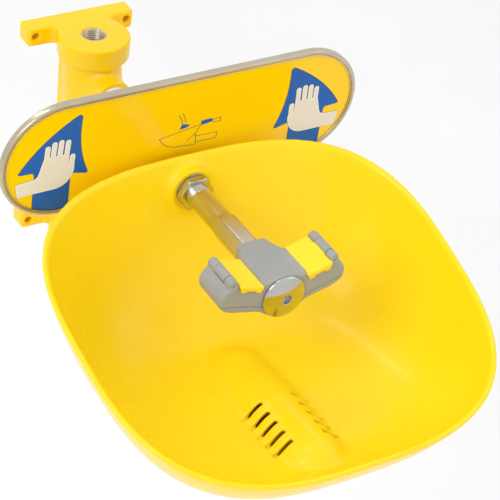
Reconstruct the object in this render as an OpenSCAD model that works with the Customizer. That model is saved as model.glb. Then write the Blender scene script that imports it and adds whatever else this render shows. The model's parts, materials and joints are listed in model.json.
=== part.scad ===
// Wall-mounted eyewash station: cast wall bracket, push panel on a quarter-turn ball valve,
// spray arm with a twin-outlet head under flip-up dust covers, catch bowl and drain line.
// Origin: centre of the four wall bolts, in the wall plane. X right, -Y towards the user, Z up.

/* [Wall bracket] */
// Distance between the wall bolts across
bolt_span_x = 88.9; // [84:0.1:92]
// Distance between the wall bolts up and down
bolt_span_z = 198; // [196:0.5:202]
// Radius of a wall bolt hole
bolt_hole_r = 3.4; // [2.5:0.1:4.5]
// Thickness of the ears against the wall
ear_t = 19; // [15:1:21]
// Radius of the round bracket body
body_r = 25.5; // [25:0.5:28]
// Distance of the pipe ports from the wall
port_y = 43; // [41:1:45]
// Radius of the supply port thread
supply_r = 10.6; // [9:0.1:11]
// Radius of the waste port thread
waste_r = 20.6; // [18:0.1:21]

/* [Supply line and valve] */
// Height of the supply line above the origin
line_z = 63.5; // [62:0.5:65]
// Distance of the valve stem from the wall
valve_y = 155; // [153:1:157]
// Radius of the valve ball
ball_r = 12.5; // [12:0.1:12.6]
// Radius of the water way
way_r = 8; // [6:0.5:8]
// Distance across the flats of the spray arm
arm_af = 22; // [21:0.5:23]

/* [Push panel] */
// Half of the length of the panel
panel_l = 164.5; // [120:0.5:170]
// Half of the height of the panel
panel_h = 55; // [50:0.5:56]
// Angle at which the panel's top leans towards the user
panel_lean = 3.7; // [2:0.1:5]
// Width of the edge trim
trim_w = 5; // [3:0.5:8]
// Half of the width of the slot that clears the supply line
slot_w = 24; // [22:0.5:24]

/* [Spray head] */
// Half of the width between the two dust cover hinges
hinge_x = 45.5; // [45:0.1:46]
// Height of the dust cover hinges
hinge_z = 81.5; // [81.3:0.1:81.7]
// Radius of the end cap
cap_r = 19; // [18:0.5:19.5]

/* [Bowl] */
// Overall width of the bowl
bowl_w = 344; // [330:1:352]
// Depth of the bowl from back to front, along its rim
bowl_d = 321.2; // [318:0.2:324]
// Angle at which the rim rises towards the wall
bowl_tilt = 15.5; // [15:0.1:16]
// Wall thickness of the bowl
bowl_t = 5; // [4:0.1:5.5]
// Radius of the hooded drain channel along the floor
hood_r = 29; // [28:0.5:30]
// Number of drain slots on each side of the hood
slots_per_side = 5; // [3:1:5]

/* [Drain line] */
// Radius of the drain tube
drain_r = 16; // [14:0.5:16]
// Fall of the drain line towards the wall
drain_fall = 1.2; // [0.5:0.1:1.5]

/* [Hidden] */
$fn = 64;
eps = 0.01;
cast_yellow = "gold";
plastic_yellow = "yellow";
head_grey = "slategray";

// Bracket
ear_h = 17.5;
ear_x = 51.5;
collar_h = 20;
top_z = bolt_span_z / 2 + 8;
collar_r = 32;
fillet_r = 6;
fillet_x = sqrt(pow(collar_r + fillet_r, 2) - pow(port_y - ear_t - fillet_r, 2));
boss_y = 86;
boss_r = 17.5;
nipple_r = 10.5;
nipple_bore = 7.9;
nipple_y = 69;
strainer_y = 115;
port_depth = 20;

// Valve, measured along Y from the wall
cap_back_y = 125;
body_back_y = 137;
seat_back_y = 142;
seat_front_y = valve_y + ball_r + 0.7;
socket_y = 173;
valve_front_y = 185;
cavity_r = 13.2;
valve_r = 18;
valve_af = 34;
stem_r = 4.5;
stem_gap = 0.05;
stem_boss_x = 19.5;
gland_r = 7;
gland_x = 14.5;
yoke_in = 24.5;
yoke_t = 3;
pivot_r = 4;
pivot_boss_x = 21;

// Spray arm
tube_r = 10.3;
wall_face_y = 225;
wall_in_y = 231;
nut_af = 28;
nut_t = 7;
hex_y0 = 287;
hex_y1 = 325;
arm_end_y = 337;

// Panel
panel_y = 211.6;
panel_z = 107.8;
plate_t = 3;
plate_back = -5;
trim_back = -6.5;
lip_t = 1.5;
slot_top = -30;
stud_x = 18;
stud_v = [-6, 14];
yoke_v = [-14, 22];
eye_r = 9;

// Spray head
head_back_y = 342;
head_front_y = 378.5;
head_top_z = 76.5;
cap_y = 379;
cap_z = 59.5;
cap_dome = 4;
nozzle_x = 31;
nozzle_y = 360;
nozzle_r = 11;
slip_gap = 0.1;
barrel_r = 4.2;
knuckle_y = [353, 369];
base_screw_y = [348, 372];
knuckle_gap = 0.3;
pin_r = 1.5;
cover_in = 19.8;
cover_out = 40.9;
cover_t = 3.1;
cover_slope = tan(16);
seat_z = 72.8;

// Bowl
rim_y = -370;
rim_z = 48.2;
rim_power = 2.9;
floor_power = 2.6;
rim_taper = 0.027;
floor_z = -50;
dish_power = 5;
rings = 12;
ring_pts = 72;
hood_t = 3.5;
hood_back_y = -330;
hood_full_y = -389;
hood_front_y = -446;
hood_end_y = -450;
hood_z = -62;
hood_flat = 0.72;
slot_pitch = 12;
slot_t = 3.8;
slot_in = 13.5;
pad_x = 38.5;
pad_y = [-299, -456];
pad_round = 11;
pad_z = hood_z - 2;

// Drain
channel_w = 26;
channel_y = -305;
channel_floor_y = -348;
gasket_t = 2;
trough_t = 3;
trough_top = pad_z - gasket_t;
screw_x = 32.5;
pilot_r = 1.9;
screw_y = [-309, -382, -447];
drain_y = -83;
drain_z = -87.5;
spigot_r = 19;
trough_spigot_y = [-209, -221];
slip_af = 42;

// ---- Shared shapes ----

// Round bar along Y from ya to yb, both measured away from the wall
module bar_y(ya, yb, r) {
    translate([0, -ya, 0]) rotate([90, 0, 0]) cylinder(r = r, h = yb - ya);
}

// Round tube along Y
module tube_y(ya, yb, r, bore) {
    difference() {
        bar_y(ya, yb, r);
        bar_y(ya - eps, yb + eps, bore);
    }
}

// Hexagonal bar along Y with a flat on top, af across the flats
module hex_y(ya, yb, af) {
    translate([0, -ya, 0]) rotate([90, 0, 0]) cylinder(r = af / sqrt(3), h = yb - ya, $fn = 6);
}

// Round bar along X from xa to xb
module bar_x(xa, xb, r) {
    translate([xa, 0, 0]) rotate([0, 90, 0]) cylinder(r = r, h = xb - xa);
}

// Hexagonal bar along X, af across the flats
module hex_x(xa, xb, af) {
    translate([xa, 0, 0]) rotate([0, 90, 0]) cylinder(r = af / sqrt(3), h = xb - xa, $fn = 6);
}

// Children on the axis of the supply line
module on_line() {
    translate([0, 0, line_z]) children();
}

// Children at the crossing of the supply line and the valve stem
module on_stem() {
    translate([0, -valve_y, line_z]) children();
}

// Children on the drain line, whose axis rises away from the wall
module on_drain() {
    translate([0, drain_y, drain_z]) rotate([-drain_fall, 0, 0]) children();
}

// Children on the panel: X across, Y up the panel, Z towards the user, 0 at its front
module on_panel() {
    translate([0, -panel_y, panel_z]) rotate([90 + panel_lean, 0, 0]) children();
}

// Children on both sides, the left one mirrored
module both_sides() {
    children();
    mirror([1, 0, 0]) children();
}

// ---- Wall bracket ----

// Plan of a flange: ears on the wall, a round collar, and fillets between them
module flange_plan() {
    difference() {
        union() {
            translate([-ear_x, -ear_t]) square([2 * ear_x, ear_t]);
            translate([0, -port_y]) circle(collar_r);
            polygon([[-fillet_x, -ear_t + eps], [fillet_x, -ear_t + eps],
                [fillet_x, -ear_t - fillet_r], [0, -port_y], [-fillet_x, -ear_t - fillet_r]]);
        }
        both_sides() translate([fillet_x, -ear_t - fillet_r]) circle(fillet_r);
    }
}

// Top flange: the ears, and the collar round the port, which hangs a little lower
module flange() {
    translate([0, 0, top_z - ear_h]) linear_extrude(ear_h) flange_plan();
    translate([0, -port_y, top_z - collar_h]) cylinder(r = collar_r - 0.5, h = collar_h - 1);
}

module wall_bracket() {
    color(cast_yellow) difference() {
        union() {
            flange();
            mirror([0, 0, 1]) flange();
            translate([0, -port_y, -top_z]) cylinder(r = body_r, h = 2 * top_z);
            translate([-12, -port_y, -top_z + ear_h - 1]) cube([24, port_y, 2 * (top_z - ear_h + 1)]);
            on_line() bar_y(port_y, boss_y, boss_r);
            on_drain() bar_y(drain_y + port_y, 6, spigot_r);
        }
        for (x = [-1, 1], z = [-1, 1]) {
            translate([x * bolt_span_x / 2, 0, z * bolt_span_z / 2]) bar_y(-1, ear_t + 1, bolt_hole_r);
        }
        translate([0, -port_y, top_z - port_depth]) cylinder(r = supply_r, h = port_depth + 1);
        translate([0, -port_y, line_z]) cylinder(r = way_r, h = top_z - line_z - port_depth + eps);
        on_line() bar_y(port_y, boss_y, way_r);
        on_line() bar_y(nipple_y, boss_y + 1, nipple_r);
        translate([0, -port_y, -top_z - 1]) cylinder(r = waste_r, h = port_depth + 1);
        translate([0, -port_y, -top_z + port_depth - eps]) cylinder(r = 17, h = 22);
        on_drain() bar_y(drain_y + port_y, 0, drain_r - 2);
        on_drain() bar_y(-12, 7, drain_r);
    }
}

module inlet_seal() {
    color("white") on_line() tube_y(boss_y, boss_y + 2.5, 13.3, nipple_r);
}

module supply_nipple() {
    color("silver") on_line() tube_y(nipple_y, body_back_y - 1, nipple_r, nipple_bore);
}

module inlet_strainer() {
    color("gray") on_line() difference() {
        bar_y(strainer_y, strainer_y + 1, nipple_bore);
        for (i = [0:5]) {
            rotate([0, 60 * i, 0]) translate([5, 0, 0])
                bar_y(strainer_y - 1, strainer_y + 2, 1.4);
        }
        bar_y(strainer_y - 1, strainer_y + 2, 2.4);
    }
}

// ---- Ball valve ----

module valve_body() {
    color("silver") difference() {
        union() {
            on_line() bar_y(body_back_y, socket_y, valve_r);
            on_line() hex_y(socket_y - 4, valve_front_y, valve_af);
            on_stem() bar_x(-pivot_boss_x, 0, 7.5);
            on_stem() bar_x(0, stem_boss_x, 9.5);
        }
        on_line() bar_y(body_back_y - 1, seat_front_y, cavity_r);
        on_line() bar_y(seat_front_y - eps, socket_y + eps, way_r);
        on_line() bar_y(socket_y, valve_front_y + 1, tube_r);
        on_stem() bar_x(0, gland_x + eps, stem_r + stem_gap);
        on_stem() bar_x(gland_x, stem_boss_x + 1, gland_r);
        on_stem() bar_x(-pivot_boss_x - 1, -14.5, 3);
    }
}

module valve_end_cap() {
    color("silver") on_line() difference() {
        union() {
            hex_y(cap_back_y, body_back_y, valve_af);
            bar_y(body_back_y - eps, seat_back_y, cavity_r);
        }
        bar_y(cap_back_y - 1, body_back_y - 1, nipple_r);
        bar_y(cap_back_y - 1, seat_back_y + 1, way_r);
    }
}

module valve_seats() {
    color("white") difference() {
        on_line() union() {
            tube_y(seat_back_y, seat_back_y + 8, cavity_r, way_r);
            tube_y(seat_front_y - 8, seat_front_y, cavity_r, way_r);
        }
        on_stem() sphere(ball_r + 0.3);
    }
}

module stem_packing() {
    color("white") on_stem() difference() {
        bar_x(gland_x, 18, gland_r);
        bar_x(gland_x - 1, 19, stem_r + stem_gap);
    }
}

module packing_nut() {
    color("silver") on_stem() difference() {
        union() {
            bar_x(18, stem_boss_x + eps, gland_r);
            hex_x(stem_boss_x, 23.5, 16);
        }
        bar_x(17, 25, stem_r + 0.1);
    }
}

module pivot_screw() {
    head_x = yoke_in + yoke_t + 0.3;
    color("silver") on_stem() difference() {
        union() {
            bar_x(-pivot_boss_x, -14.5, 3);
            bar_x(-head_x, -pivot_boss_x + eps, pivot_r);
            bar_x(-head_x - 3.7, -head_x + eps, 7);
        }
        hex_x(-head_x - 4, -head_x - 1.2, 4);
    }
}

module valve_ball() {
    color("gainsboro") on_stem() difference() {
        sphere(ball_r);
        translate([0, 0, -ball_r - 1]) cylinder(r = way_r, h = 2 * ball_r + 2);
        translate([9, -2, -ball_r]) cube([ball_r, 4, 2 * ball_r]);
    }
}

module valve_stem() {
    arm_x = yoke_in + yoke_t;
    color("silver") on_stem() {
        translate([9, -2, -4]) cube([3.7, 4, 8]);
        bar_x(12.6, yoke_in, stem_r);
        translate([yoke_in - eps, -3, -3]) cube([yoke_t - 0.2, 6, 6]);
        bar_x(arm_x - 0.3, arm_x + 7, 3);
    }
}

module stem_nut() {
    arm_x = yoke_in + yoke_t;
    color("silver") on_stem() difference() {
        hex_x(arm_x, arm_x + 5, 10);
        bar_x(arm_x - 1, arm_x + 6, 3);
    }
}

// ---- Spray arm and its fixing to the bowl ----

module spray_arm() {
    color("silver") on_line() difference() {
        union() {
            bar_y(socket_y, hex_y0, tube_r);
            intersection() {
                hex_y(hex_y0 - 4, hex_y1, arm_af);
                union() {
                    translate([0, -hex_y0 + 4, 0]) rotate([90, 0, 0])
                        cylinder(r1 = tube_r, r2 = 13, h = 5);
                    bar_y(hex_y0 + 1 - eps, hex_y1, 13);
                }
            }
            bar_y(hex_y1 - eps, arm_end_y, 9.5);
        }
        bar_y(socket_y - 1, arm_end_y + 1, 7.5);
    }
}

module lock_nuts() {
    color("silver") on_line() for (y = [wall_face_y - 2.5 - nut_t, wall_in_y + 1]) {
        difference() {
            hex_y(y, y + nut_t, nut_af);
            bar_y(y - 1, y + nut_t + 1, tube_r);
        }
    }
}

module bowl_washer() {
    color("silver") on_line() tube_y(wall_in_y, wall_in_y + 1, 15.5, tube_r);
}

module bowl_gasket() {
    color("black") on_line() tube_y(wall_face_y - 2.5, wall_face_y, 17, tube_r);
}

// ---- Spray head ----

// Height of the parting line between head body and base, at the distance x from the middle
function part_z(x) = cap_z - 10 + x * 11 / 43;

// Front outline of the head above its parting line, right half
module head_half() {
    polygon([[0, part_z(0)], [43, part_z(43)], [53, 68], [56, 72], [55.5, 76.5], [50, 81.5],
        [hinge_x, hinge_z - 2], [cover_out + 0.6, 78.5],
        [cover_out + 0.6, seat_z + (cover_out - cover_in) * cover_slope],
        [cover_in - 0.3, seat_z], [cover_in - 0.3, head_top_z], [0, head_top_z]]);
}

// Round bar along Y on the hinge axis, right side
module hinge_bar(ya, yb, r) {
    translate([hinge_x, 0, hinge_z]) bar_y(ya, yb, r);
}

module spray_head_body() {
    depth = head_front_y - head_back_y;
    color(head_grey) difference() {
        union() {
            both_sides() {
                translate([0, -head_back_y, 0]) rotate([90, 0, 0]) linear_extrude(depth) head_half();
                hinge_bar(head_back_y, head_front_y, barrel_r);
            }
            hull() {
                translate([-13.5, -hex_y1 - 2, part_z(0)]) cube([27, 1, head_top_z - 1.5 - part_z(0)]);
                translate([-cover_in, -head_back_y, part_z(0)])
                    cube([2 * cover_in, 1, head_top_z - part_z(0)]);
            }
            translate([0, 0, cap_z]) bar_y(head_front_y - 12, cap_y, cap_r);
        }
        both_sides() {
            hinge_bar(knuckle_y[0], knuckle_y[1], barrel_r + 0.5);
            hinge_bar(head_back_y - 1, head_front_y + 1, pin_r);
            translate([nozzle_x, -nozzle_y, 66]) cylinder(r = nozzle_r, h = 20);
            translate([nozzle_x, -nozzle_y, 61]) cylinder(r = way_r, h = 6);
        }
        translate([0, -nozzle_y, 64.5]) bar_x(-nozzle_x, nozzle_x, 4);
        on_line() bar_y(hex_y1, arm_end_y, 9.5);
        on_line() bar_y(arm_end_y - eps, cap_y - 11, 7.5);
        translate([0, 0, cap_z]) bar_y(cap_y - 12, cap_y + 1, 11);
        for (x = [-26, 26], y = base_screw_y) {
            translate([x, -y, 50]) cylinder(r = 1.5, h = 9);
        }
    }
}

module spray_head_base() {
    color(head_grey) difference() {
        both_sides() translate([0, -head_back_y, 0]) rotate([90, 0, 0])
            linear_extrude(head_front_y - head_back_y)
                polygon([[0, part_z(0) - 6], [45, part_z(43) - 5.5], [56, 66], [56, 72], [53, 68],
                    [43, part_z(43)], [0, part_z(0)]]);
        translate([0, 0, cap_z]) bar_y(head_front_y - 12.2, cap_y + 1, cap_r);
        for (x = [-26, 26], y = base_screw_y) {
            translate([x, -y, 40]) cylinder(r = 1.5, h = 20);
            translate([x, -y, 40]) cylinder(r = 3.2, h = 12.5);
        }
    }
}

module base_screws() {
    color("silver") for (x = [-26, 26], y = base_screw_y) {
        translate([x, -y, 52.4]) cylinder(r = 1.5, h = 6.6);
        translate([x, -y, 50.5]) cylinder(r = 3.2, h = 2);
    }
}

module flow_regulator() {
    color("white") on_line() difference() {
        bar_y(arm_end_y + 2, arm_end_y + 6, 7.5 - slip_gap);
        bar_y(arm_end_y + 1, arm_end_y + 7, 2.5);
    }
}

// Domed end cap with a hexagonal key socket
module head_cap() {
    dome_r = (cap_r * cap_r + cap_dome * cap_dome) / (2 * cap_dome);
    color("silver") translate([0, 0, cap_z]) difference() {
        union() {
            intersection() {
                bar_y(cap_y, cap_y + 2 + cap_dome, cap_r);
                translate([0, -cap_y - 2 - cap_dome + dome_r, 0]) sphere(dome_r, $fn = 96);
            }
            bar_y(cap_y - 11, cap_y + eps, 11);
        }
        hex_y(cap_y + 2, cap_y + 8, 8);
        tube_y(cap_y - eps, cap_y + 1, 16, 13);
    }
}

module cap_o_ring() {
    color("black") translate([0, 0, cap_z]) tube_y(cap_y, cap_y + 1, 16, 13);
}

// Soft-spray outlet of the right side, with rings of spray holes
module nozzle() {
    color("silver") translate([nozzle_x, -nozzle_y, 66]) difference() {
        cylinder(r = nozzle_r - slip_gap, h = 6.5);
        translate([0, 0, -1]) cylinder(r = nozzle_r - 2, h = 5.5);
        for (ring = [1, 2], i = [0:6 * ring - 1]) {
            rotate([0, 0, 60 * i / ring]) translate([3.4 * ring, 0, 0]) cylinder(r = 0.8, h = 8, $fn = 24);
        }
    }
}

module right_nozzle() {
    nozzle();
}

module left_nozzle() {
    mirror([1, 0, 0]) nozzle();
}

module right_hinge_pin() {
    color("silver") hinge_bar(head_back_y + 1, head_front_y - 1.5, pin_r);
}

module left_hinge_pin() {
    mirror([1, 0, 0]) right_hinge_pin();
}

// Flip-up cover of the right outlet: a sloping lid with a lip over the front edge
module dust_cover() {
    lid_z = seat_z + 0.3;
    rise = (cover_out - cover_in) * cover_slope;
    reach = (hinge_x - cover_in) * cover_slope;
    color(plastic_yellow) difference() {
        union() {
            translate([0, -head_back_y - 0.5, 0]) rotate([90, 0, 0])
                linear_extrude(head_front_y - head_back_y + 2.5)
                    polygon([[cover_in, lid_z], [cover_out, lid_z + rise],
                        [cover_out, lid_z + rise + cover_t], [cover_in, lid_z + cover_t]]);
            translate([0, -head_front_y - 0.3, 0]) rotate([90, 0, 0]) linear_extrude(2.2)
                polygon([[cover_in + 1.5, lid_z - 3], [cover_out - 1, lid_z + rise - 3.5],
                    [cover_out - 1, lid_z + rise], [cover_in + 1.5, lid_z + 1]]);
            translate([0, -knuckle_y[0] - knuckle_gap, 0]) rotate([90, 0, 0])
                linear_extrude(knuckle_y[1] - knuckle_y[0] - 2 * knuckle_gap)
                    polygon([[cover_out - 1, lid_z + rise - 0.2], [hinge_x, lid_z + reach],
                        [hinge_x, lid_z + reach + 2.6], [cover_out - 1, lid_z + rise + cover_t]]);
        }
        hinge_bar(knuckle_y[0] - 1, knuckle_y[1] + 1, barrel_r);
    }
}

module cover_knuckle() {
    color(head_grey) difference() {
        hinge_bar(knuckle_y[0] + knuckle_gap, knuckle_y[1] - knuckle_gap, barrel_r);
        hinge_bar(knuckle_y[0], knuckle_y[1], pin_r + 0.05);
    }
}

module right_dust_cover() {
    dust_cover();
}

module left_dust_cover() {
    mirror([1, 0, 0]) dust_cover();
}

module right_cover_knuckle() {
    cover_knuckle();
}

module left_cover_knuckle() {
    mirror([1, 0, 0]) cover_knuckle();
}

// ---- Bowl ----

// Point of the bowl's surface: a is the angle round the rim, k runs from 1 at the rim to 0 at
// the middle of the floor, inset is the distance inside the outer surface
function bowl_point(a, k, inset) =
    let (n = floor_power + (rim_power - floor_power) * k,
        reach = pow(pow(abs(cos(a)), n) + pow(abs(sin(a)), n), -1 / n),
        v = (bowl_d / 2 - inset) * reach * sin(a),
        u = (bowl_w / 2 - inset) * reach * cos(a) * (1 + rim_taper * v * 2 / bowl_d),
        low = floor_z - bowl_t + inset,
        edge_z = rim_z + v * sin(bowl_tilt))
    [u * k, rim_y + v * cos(bowl_tilt) * k, low + (edge_z - low) * pow(k, dish_power)];

// Solid filled up to the ring at k = top: 1 is the rim plane, and more than 1 is above it
module dish(inset, top) {
    angles = [for (i = [0:ring_pts - 1]) 360 * i / ring_pts];
    side = [for (r = [0:rings - 1], a = angles) bowl_point(a, top * (1 - r / rings), inset)];
    last = (rings - 1) * ring_pts;
    polyhedron(concat(side, [bowl_point(0, 0, inset)]), concat(
        [[for (i = [0:ring_pts - 1]) ring_pts - 1 - i]],
        [for (r = [0:rings - 2], i = [0:ring_pts - 1], half = [0, 1])
            let (j = (i + 1) % ring_pts, a = r * ring_pts, b = a + ring_pts)
            half == 0 ? [a + i, a + j, b + j] : [a + i, b + j, b + i]],
        [for (i = [0:ring_pts - 1]) [last + i, last + (i + 1) % ring_pts, last + ring_pts]]));
}

// Outline of the flat pad that the trough is screwed to
module pad_outline() {
    length = pad_y[0] - pad_y[1];
    translate([-pad_x, pad_y[1] + pad_round]) square([2 * pad_x, length - 2 * pad_round]);
    translate([-pad_x + pad_round, pad_y[1]]) square([2 * (pad_x - pad_round), length]);
    for (x = [-1, 1], y = [pad_y[0] - pad_round, pad_y[1] + pad_round]) {
        translate([x * (pad_x - pad_round), y]) circle(pad_round, $fn = 48);
    }
}

// Half-round hood over the drain channel, sinking into the floor towards the wall
module hood(r, front_y) {
    hull() {
        translate([0, hood_back_y, hood_z]) scale([1, 1, hood_flat]) sphere(r, $fn = 40);
        translate([0, hood_full_y, hood_z]) sphere(r, $fn = 40);
    }
    translate([0, hood_full_y, hood_z]) rotate([90, 0, 0])
        cylinder(r = r, h = hood_full_y - front_y, $fn = 40);
}

// Slots through both flanks of the hood, from near its crest down to the floor
module drain_slots() {
    intersection() {
        both_sides() for (i = [0:slots_per_side - 1]) {
            translate([slot_in, hood_full_y - slot_pitch * i - slot_t / 2, floor_z - 1])
                cube([hood_r, slot_t, hood_r]);
        }
        hood(hood_r + 0.5, hood_front_y);
    }
}

module bowl() {
    color(plastic_yellow) resize([bowl_w, 0, 0]) difference() {
        union() {
            difference() {
                union() {
                    dish(0, 1);
                    translate([0, 0, pad_z]) linear_extrude(20 + floor_z - pad_z) pad_outline();
                }
                dish(bowl_t, 1.1);
            }
            on_line() bar_y(wall_face_y - 5, wall_in_y, 20);
            intersection() {
                union() {
                    hood(hood_r, hood_end_y);
                    translate([0, hood_end_y, hood_z]) sphere(hood_r, $fn = 40);
                }
                dish(0, 1);
            }
        }
        hood(hood_r - hood_t, hood_front_y);
        drain_slots();
        on_line() bar_y(wall_face_y - 10, wall_in_y + 5, tube_r + 0.1);
        on_line() bar_y(wall_face_y - 20, wall_face_y, 17.5);
        on_line() bar_y(wall_in_y, wall_in_y + 20, 17.5);
        for (x = [-screw_x, screw_x], y = screw_y) {
            translate([x, y, pad_z - 1]) cylinder(r = pilot_r, h = 8, $fn = 24);
        }
    }
}

// ---- Drain ----

// Frame round the channel: the outline of the flange, open over the channel
module flange_ring(z, t) {
    translate([0, 0, z]) difference() {
        linear_extrude(t) pad_outline();
        translate([-channel_w, hood_front_y, -1]) cube([2 * channel_w, channel_y - hood_front_y, t + 2]);
        for (x = [-screw_x, screw_x], y = screw_y) {
            translate([x, y, -1]) cylinder(r = 1.6, h = t + 2);
        }
    }
}

module trough_gasket() {
    color("black") flange_ring(trough_top, gasket_t);
}

// Side profile of the channel, widened all round by grow
module trough_profile(grow) {
    polygon([[channel_y + grow, trough_top + eps], [hood_front_y - grow, trough_top + eps],
        [hood_front_y - grow, -76 - grow], [channel_floor_y, -98 - grow], [channel_y + grow, -98 - grow]]);
}

module trough_block(half_w, grow) {
    rotate([90, 0, 90]) translate([0, 0, -half_w]) linear_extrude(2 * half_w) trough_profile(grow);
}

module drain_trough() {
    color(plastic_yellow) difference() {
        union() {
            flange_ring(trough_top - trough_t, trough_t);
            trough_block(channel_w + trough_t, trough_t);
            on_drain() bar_y(-trough_spigot_y[0], -trough_spigot_y[1], spigot_r - 1);
        }
        translate([0, 0, eps]) trough_block(channel_w, 0);
        translate([-50, pad_y[1] - 1, trough_top]) cube([100, pad_y[0] - pad_y[1] + 1, 5]);
        on_drain() bar_y(-trough_spigot_y[0] - 1, -trough_spigot_y[1] + 4, drain_r);
    }
}

module trough_screws() {
    color("silver") for (x = [-screw_x, screw_x], y = screw_y) {
        translate([x, y, trough_top - trough_t - 0.1]) cylinder(r = 1.6, h = 12);
        translate([x, y, trough_top - trough_t - 2.5]) cylinder(r = 3.4, h = 2.5);
    }
}

module drain_tube() {
    color("white") on_drain() tube_y(-12, 219, drain_r, drain_r - 1.5);
}

// Slip nut whose mouth covers the end of a spigot of radius r
module slip_nut(r) {
    difference() {
        hex_y(0, 13, slip_af);
        bar_y(-1, 7.5, r);
        bar_y(7, 14, drain_r);
    }
}

module drain_nuts() {
    color("silver") on_drain() {
        translate([0, -1, 0]) slip_nut(spigot_r);
        translate([0, trough_spigot_y[0] - 5, 0]) rotate([0, 0, 180]) slip_nut(spigot_r - 1);
    }
}

module drain_washers() {
    color("white") on_drain() {
        tube_y(6, 8.5, spigot_r, drain_r);
        tube_y(206.5, 209, spigot_r - 1, drain_r);
    }
}

// ---- Push panel ----

// Long outline with round ends, inset all round, and the slot for the supply line
module panel_outline(inset) {
    r = panel_h - inset;
    difference() {
        union() {
            translate([-panel_l + panel_h, -r]) square([2 * (panel_l - panel_h), 2 * r]);
            for (x = [-1, 1]) {
                translate([x * (panel_l - panel_h), 0]) circle(r, $fn = 96);
            }
        }
        translate([-slot_w, -panel_h - 1]) square([2 * slot_w, slot_top + panel_h + 1]);
    }
}

module push_panel() {
    color("silver") on_panel() translate([0, 0, plate_back])
        linear_extrude(plate_t) panel_outline(lip_t);
}

module panel_label() {
    color(cast_yellow) on_panel() translate([0, 0, plate_back + plate_t])
        linear_extrude(0.5) panel_outline(lip_t);
}

module panel_trim() {
    color("silver") on_panel() difference() {
        translate([0, 0, trim_back]) linear_extrude(-trim_back) panel_outline(0);
        translate([0, 0, trim_back - 1]) linear_extrude(-trim_back + 2) panel_outline(trim_w);
        translate([0, 0, plate_back]) linear_extrude(plate_t + 0.5) panel_outline(lip_t);
        translate([-slot_w - 1, -panel_h - 1, trim_back - 1]) cube([2 * slot_w + 2, 20, 10]);
    }
}

module panel_studs() {
    color("silver") on_panel() for (x = [-stud_x, stud_x], v = stud_v) {
        translate([x, v, plate_back - 9]) cylinder(r = 2, h = 9);
    }
}

module panel_nuts() {
    color("silver") on_panel() for (x = [-stud_x, stud_x], v = stud_v) {
        translate([x, v, plate_back - yoke_t - 3.2]) difference() {
            cylinder(r = 7 / sqrt(3), h = 3.2, $fn = 6);
            translate([0, 0, -1]) cylinder(r = 2, h = 6);
        }
    }
}

// Right arm of the yoke: a plate from the panel's back to a round eye on the stem axis
module yoke_arm() {
    back = panel_y - valve_y;
    down = panel_z - line_z;
    eye = [down * cos(panel_lean) + back * sin(panel_lean),
        back * cos(panel_lean) - down * sin(panel_lean)] * -1;
    on_panel() rotate([90, 0, 90]) translate([0, 0, yoke_in]) linear_extrude(yoke_t) {
        translate(eye) circle(eye_r);
        polygon([[yoke_v[0], plate_back], [yoke_v[1], plate_back], [yoke_v[1], plate_back - yoke_t],
            eye + eye_r * [cos(135), sin(135)] * -1, eye + eye_r * [cos(120), sin(120)],
            [yoke_v[0], plate_back - yoke_t]]);
    }
}

module handle_yoke() {
    color("silver") difference() {
        union() {
            both_sides() yoke_arm();
            on_panel() translate([-yoke_in - eps, yoke_v[0], plate_back - yoke_t])
                cube([2 * (yoke_in + eps), yoke_v[1] - yoke_v[0], yoke_t]);
        }
        on_stem() bar_x(-yoke_in - yoke_t - 1, -yoke_in + 1, pivot_r + 0.06);
        on_stem() translate([yoke_in - 1, -3, -3]) cube([yoke_t + 2, 6, 6]);
        on_panel() for (x = [-stud_x, stud_x], v = stud_v) {
            translate([x, v, plate_back - yoke_t - 1]) cylinder(r = 2, h = yoke_t + 2);
        }
    }
}

wall_bracket();
inlet_seal();
supply_nipple();
inlet_strainer();
valve_body();
valve_end_cap();
valve_seats();
stem_packing();
packing_nut();
pivot_screw();
spray_arm();
lock_nuts();
bowl_washer();
bowl_gasket();
spray_head_body();
spray_head_base();
base_screws();
flow_regulator();
head_cap();
cap_o_ring();
left_nozzle();
right_nozzle();
left_hinge_pin();
right_hinge_pin();
bowl();
trough_gasket();
drain_trough();
trough_screws();
drain_tube();
drain_nuts();
drain_washers();
push_panel();
panel_label();
panel_trim();
panel_studs();
panel_nuts();
handle_yoke();
valve_stem();
valve_ball();
stem_nut();
left_dust_cover();
left_cover_knuckle();
right_dust_cover();
right_cover_knuckle();
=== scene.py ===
"""Looks of a wall-mounted eyewash station: bracket, push panel, spray arm, head and bowl."""

import json
import math

import bmesh
import bpy
import numpy as np
import openvdb
from mathutils import Matrix, Vector


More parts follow.
